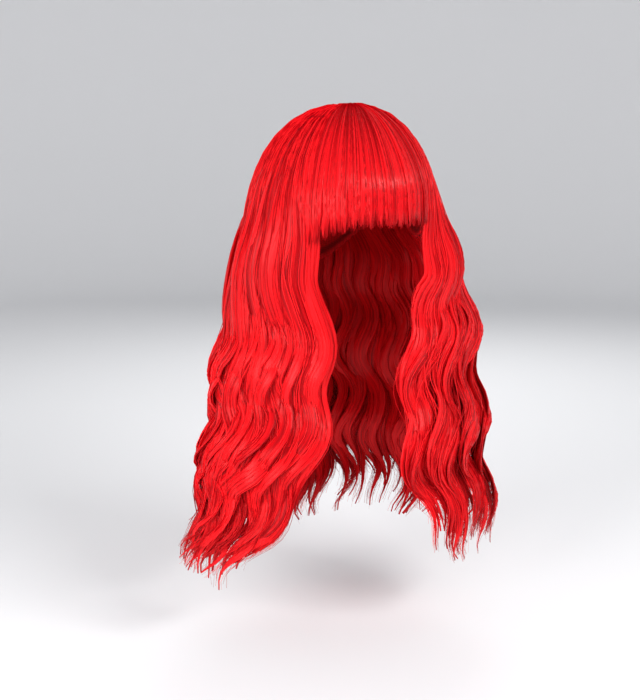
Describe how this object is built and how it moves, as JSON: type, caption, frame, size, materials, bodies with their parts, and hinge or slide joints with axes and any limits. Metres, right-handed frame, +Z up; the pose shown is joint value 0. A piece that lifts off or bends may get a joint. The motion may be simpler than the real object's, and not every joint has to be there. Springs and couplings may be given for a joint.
{
  "type": "long wavy wig with a full fringe",
  "caption": "Long wavy hair on a fitted cap, with a straight full fringe, falling over the shoulders and down the back.",
  "frame": {"origin": "inside top of the cap, where it rests on the crown of a head", "axes": "+Z up out of the crown, -Y out through the face, +X to the wearer's left"},
  "size_m": [0.3202, 0.2177, 0.4543],
  "materials": {
    "hair": "smooth synthetic fibre with a soft sheen",
    "cap": "matte stretch net"
  },
  "bodies": {
    "root": {"cap": "cap", "fringe": "hair", "right_front_hair": "hair", "left_front_hair": "hair", "right_side_hair": "hair", "left_side_hair": "hair", "right_back_hair": "hair", "left_back_hair": "hair", "middle_back_hair": "hair"}
  },
  "joints": []
}
